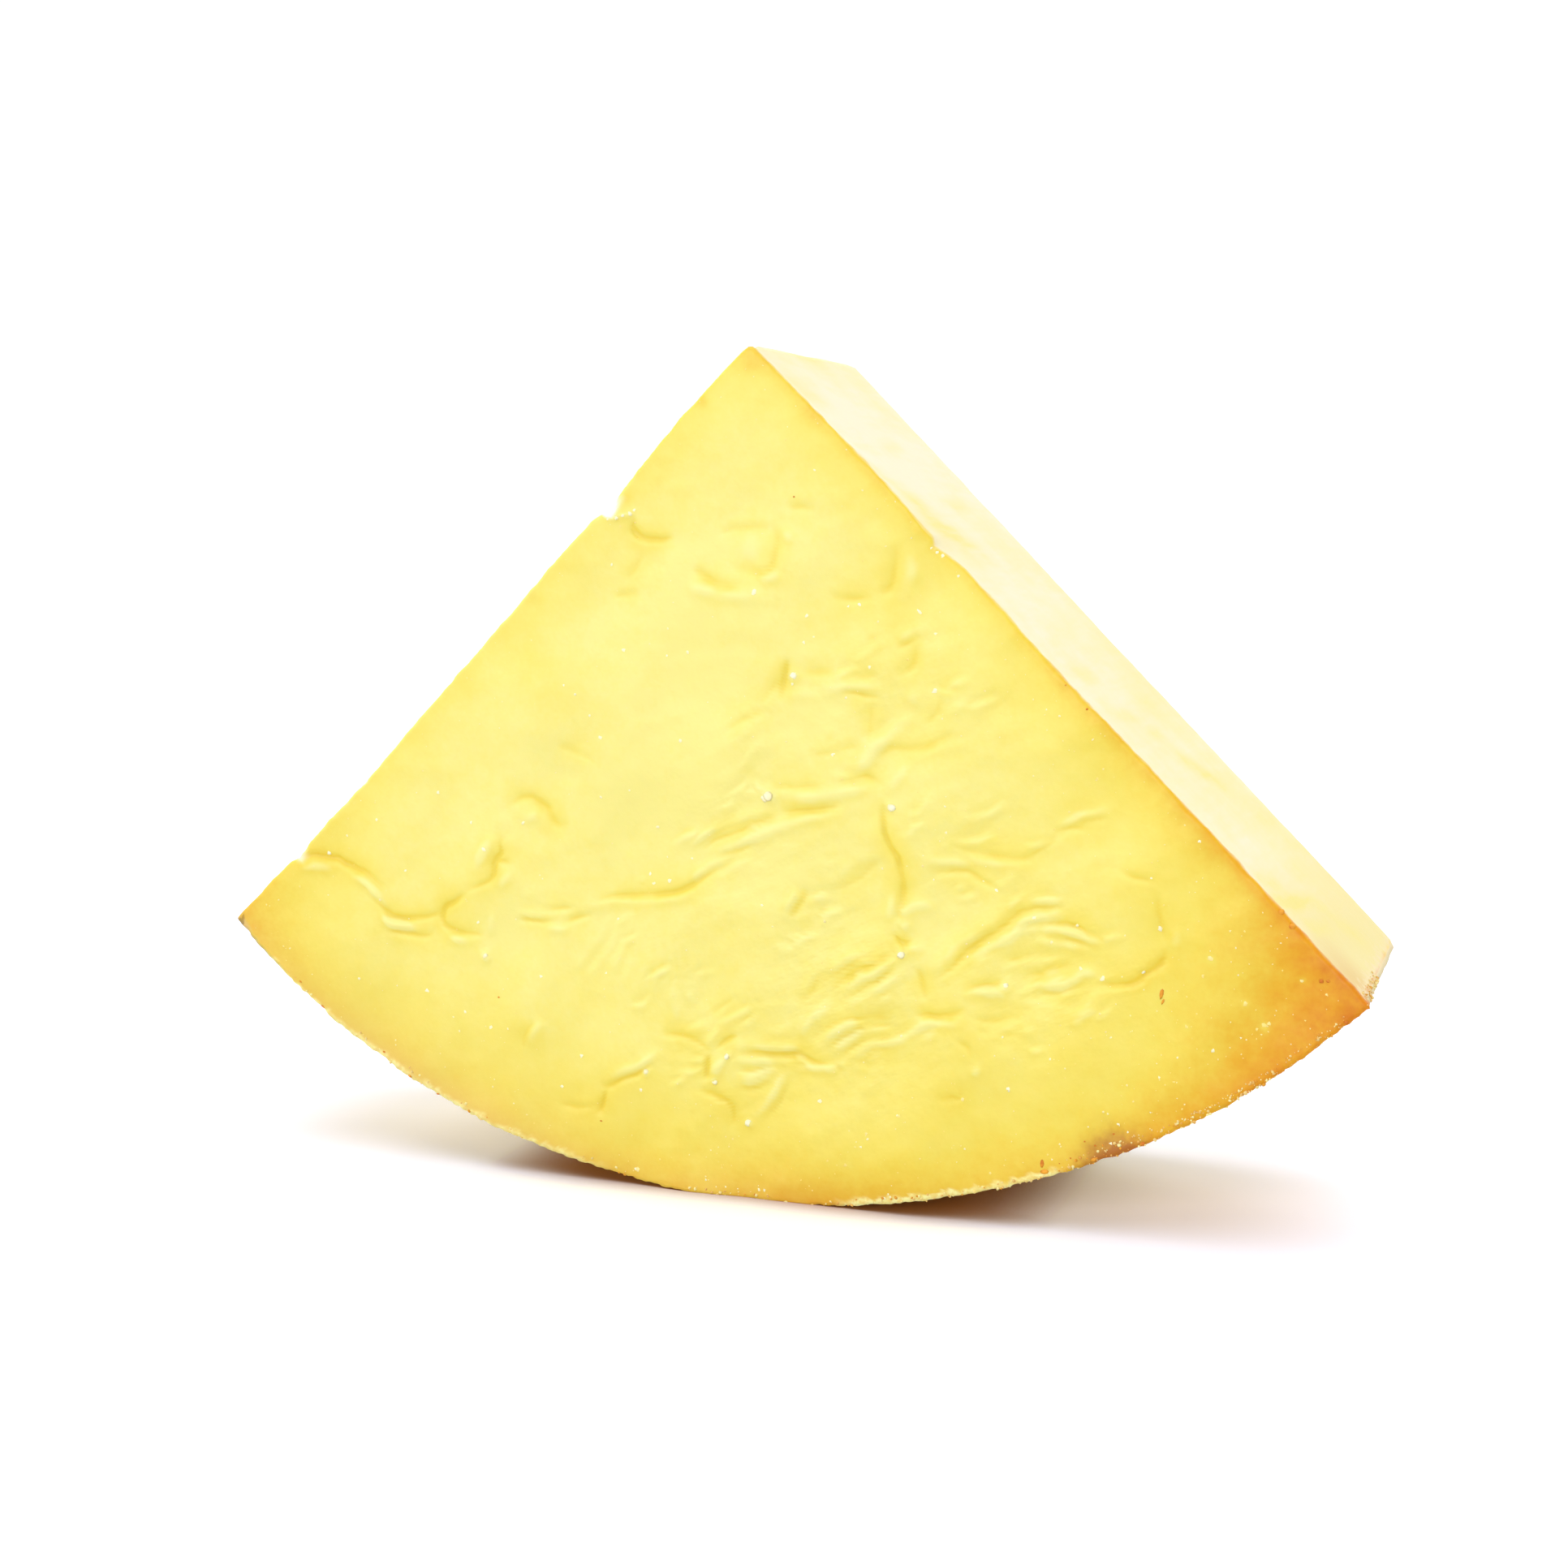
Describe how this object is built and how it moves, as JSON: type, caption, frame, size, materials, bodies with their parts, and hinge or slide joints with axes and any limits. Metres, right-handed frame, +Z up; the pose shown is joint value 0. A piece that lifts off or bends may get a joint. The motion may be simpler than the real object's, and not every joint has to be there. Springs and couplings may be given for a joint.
{
  "type": "cheese wedge",
  "caption": "Quarter of a small flat wheel of pale yellow cheese with a wrinkled rind, standing on its curved rind with the tip up.",
  "frame": {"origin": "middle of the small flat under the curved rind that the wedge rests on", "axes": "+X to the right across the wrinkled rind face, +Y from that face to the rind face behind it, +Z up through the tip"},
  "size_m": [0.168, 0.0459, 0.1192],
  "materials": {
    "cheese": "waxy, softly translucent cheese: yellow wrinkled rind, deeper at the edges, and a pale cream cut paste",
    "crystals": "small matt crumbs and salt crystals on the rind",
    "browned": "dry browned flecks of rind at the outer rim"
  },
  "bodies": {
    "root": {"cheese_wedge": "cheese"}
  },
  "joints": []
}
